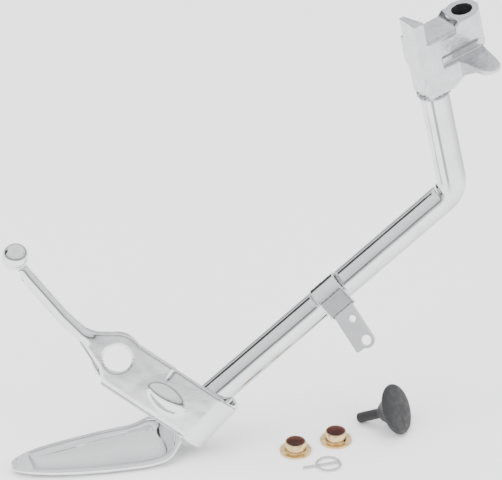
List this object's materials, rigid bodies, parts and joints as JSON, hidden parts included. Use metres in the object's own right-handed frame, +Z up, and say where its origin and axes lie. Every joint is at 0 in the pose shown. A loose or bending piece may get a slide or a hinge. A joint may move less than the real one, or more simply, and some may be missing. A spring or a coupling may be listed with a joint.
{
  "type": "motorcycle kickstand",
  "caption": "Chrome-plated motorcycle kickstand: a bent tube with a forged pivot head, kick lever, spring bracket and dish foot, with its bushings, bumper and ring cotter beside it.",
  "frame": {"origin": "on the pivot bore's axis, halfway up the head's boss", "axes": "+Z up, the foot's sole flat in a level plane; +X along the ground away from the foot's toe; +Y away from the side that shows the lever"},
  "size_m": [0.3162, 0.0955, 0.3085],
  "materials": {
    "chrome": "polished",
    "weld": "satin",
    "bronze": "polished",
    "liner": "matte",
    "rubber": "matte",
    "wire": "satin"
  },
  "bodies": {
    "retainer": {"ring_cotter": "wire"},
    "leg": {"pivot_head": "chrome", "head_weld": "weld", "leg_tube": "chrome", "spring_bracket": "chrome", "bracket_weld": "weld", "kick_lever": "chrome", "lever_ball": "chrome", "lever_weld": "weld", "foot": "chrome", "foot_weld": "weld"},
    "bushing_1": {"bushing_1": "bronze", "bushing_1_liner": "liner"},
    "bushing_2": {"bushing_2": "bronze", "bushing_2_liner": "liner"},
    "bumper": {"rubber_bumper": "rubber"}
  },
  "joints": [
    {"name": "leg_swing", "type": "hinge", "parent": "retainer", "child": "leg", "pos_m": [0, 0, 0], "axis": [-0.1736, 0, 0.9848], "range_deg": [0, 95]},
    {"name": "bushing_1_lift", "type": "slide", "parent": "retainer", "child": "bushing_1", "axis": [0, 0, 1], "range_m": [0, 0.05]},
    {"name": "bushing_2_lift", "type": "slide", "parent": "retainer", "child": "bushing_2", "axis": [0, 0, 1], "range_m": [0, 0.05]},
    {"name": "bumper_lift", "type": "slide", "parent": "retainer", "child": "bumper", "axis": [0, 0, 1], "range_m": [0, 0.05]}
  ]
}
